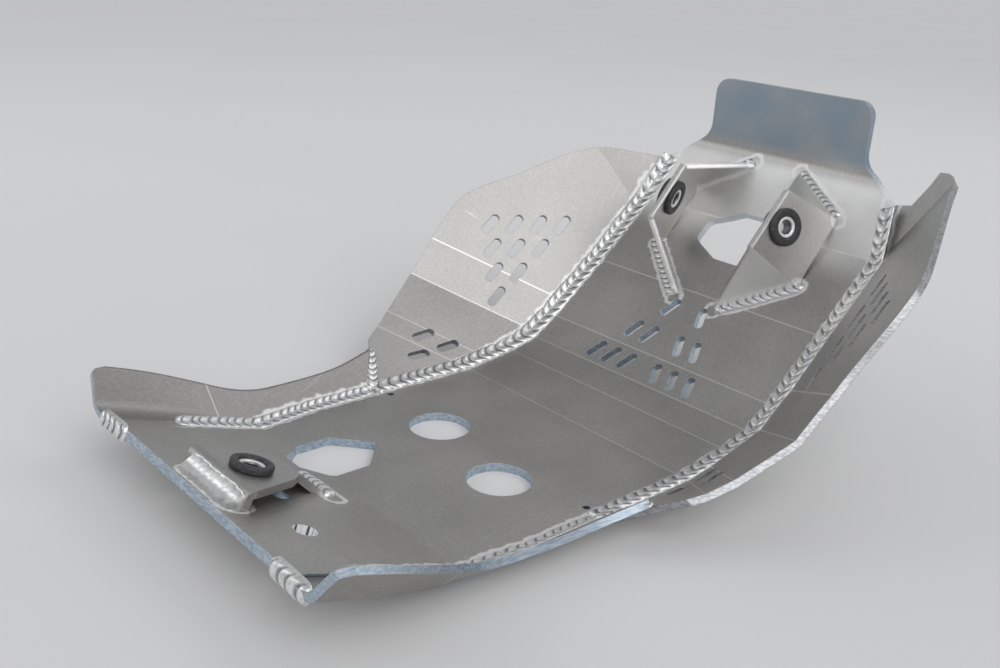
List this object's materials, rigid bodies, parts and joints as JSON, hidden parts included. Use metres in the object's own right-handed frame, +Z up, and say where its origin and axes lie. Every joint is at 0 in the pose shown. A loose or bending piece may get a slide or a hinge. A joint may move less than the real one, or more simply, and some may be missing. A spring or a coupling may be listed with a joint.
{
  "type": "motorcycle skid plate",
  "caption": "Welded sheet skid plate: a folded centre plate with flared side wings, vent slots, drain holes and brackets with rubber grommets.",
  "frame": {"origin": "on the underside of the flat belly, on the centre line", "axes": "+Z up out of the belly into the plate, +Y towards the upright tongue at the front, +X to the motorcycle's right"},
  "size_m": [0.3359, 0.4406, 0.1923],
  "materials": {
    "plate_sheet": "satin rolled sheet with fine grain and light scratches",
    "wing_sheet": "satin rolled sheet with fine grain and light scratches",
    "bracket_sheet": "brushed sheet with cut edges",
    "weld_metal": "shiny rippled weld bead with a pale etched rim",
    "black_rubber": "satin black rubber",
    "turned_sleeve": "bright turned metal"
  },
  "bodies": {
    "root": {"centre_plate": "plate_sheet", "left_bracket_foot_weld": "weld_metal", "left_bracket_head_weld": "weld_metal", "left_front_bracket": "bracket_sheet", "left_front_grommet": "black_rubber", "left_front_seam_weld": "weld_metal", "left_front_sleeve": "turned_sleeve", "left_front_wing": "wing_sheet", "left_rear_seam_weld": "weld_metal", "left_rear_wing": "wing_sheet", "left_tail_corner_weld": "weld_metal", "left_wing_joint_weld": "weld_metal", "rear_bracket": "bracket_sheet", "rear_bracket_front_weld": "weld_metal", "rear_bracket_rear_weld": "weld_metal", "rear_grommet": "black_rubber", "rear_sleeve": "turned_sleeve", "right_bracket_foot_weld": "weld_metal", "right_bracket_head_weld": "weld_metal", "right_front_bracket": "bracket_sheet", "right_front_grommet": "black_rubber", "right_front_seam_weld": "weld_metal", "right_front_sleeve": "turned_sleeve", "right_front_wing": "wing_sheet", "right_rear_seam_weld": "weld_metal", "right_rear_wing": "wing_sheet", "right_tail_corner_weld": "weld_metal", "right_wing_joint_weld": "weld_metal"}
  },
  "joints": []
}
